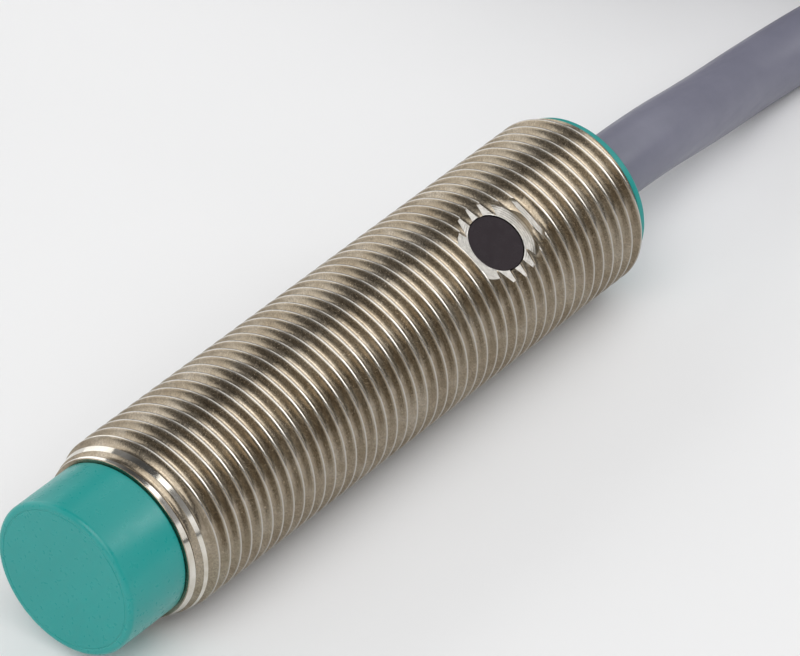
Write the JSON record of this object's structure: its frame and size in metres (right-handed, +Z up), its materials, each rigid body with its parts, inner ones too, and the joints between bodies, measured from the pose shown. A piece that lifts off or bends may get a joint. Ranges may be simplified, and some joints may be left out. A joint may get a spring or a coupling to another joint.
{
  "type": "inductive proximity sensor",
  "caption": "Cylindrical threaded inductive proximity sensor with a projecting plastic sensing cap, a side indicator window and a fixed cable tied in a hank.",
  "frame": {"origin": "centre of the flat sensing face", "axes": "+X along the barrel from the sensing face towards the cable, +Z up from the surface that the barrel lies on"},
  "size_m": [0.1744, 0.0424, 0.0266],
  "materials": {
    "cap_plastic": "satin moulded teal PBT",
    "plug_plastic": "satin moulded teal PBT",
    "barrel_metal": "nickel-plated brass, turned",
    "ferrite": "sintered ferrite",
    "bobbin_plastic": "moulded",
    "copper": "enamelled copper",
    "holder_plastic": "moulded",
    "board_laminate": "solder mask",
    "chip_black": "moulded epoxy",
    "tinned_metal": "tinned",
    "tantalum_yellow": "moulded",
    "ceramic_tan": "ceramic",
    "led_resin": "clear resin",
    "window_plastic": "dark translucent",
    "foil_copper": "rolled foil",
    "resin": "cast epoxy",
    "cable_jacket": "grey PVC",
    "grip_brass": "crimped",
    "wire_brown": "PVC",
    "wire_blue": "PVC",
    "wire_black": "PVC",
    "ferrule_metal": "tinned copper",
    "tie_nylon": "natural nylon"
  },
  "bodies": {
    "root": {"sensing_cap": "cap_plastic", "end_plug": "plug_plastic", "barrel": "barrel_metal", "ferrite_core": "ferrite", "coil_bobbin": "bobbin_plastic", "coil_winding": "copper", "coil_leads": "copper", "core_holder": "holder_plastic", "circuit_board": "board_laminate", "oscillator_chip": "chip_black", "output_transistor": "chip_black", "protection_diodes": "chip_black", "resistors": "chip_black", "chip_legs": "tinned_metal", "transistor_legs": "tinned_metal", "chip_terminals": "tinned_metal", "solder_joints": "tinned_metal", "filter_capacitor": "tantalum_yellow", "capacitors": "ceramic_tan", "status_led": "led_resin", "led_window": "window_plastic", "screen_foil": "foil_copper", "potting": "resin", "cable_entry": "cable_jacket", "cable": "cable_jacket", "cable_hank": "cable_jacket", "cable_tail": "cable_jacket", "cable_grip": "grip_brass", "inner_wire_brown": "wire_brown", "inner_wire_blue": "wire_blue", "inner_wire_black": "wire_black", "wire_end_brown": "wire_brown", "wire_end_blue": "wire_blue", "wire_end_black": "wire_black", "ferrule_brown": "ferrule_metal", "ferrule_blue": "ferrule_metal", "ferrule_black": "ferrule_metal", "cable_tie_near": "tie_nylon", "cable_tie_far": "tie_nylon"}
  },
  "joints": []
}
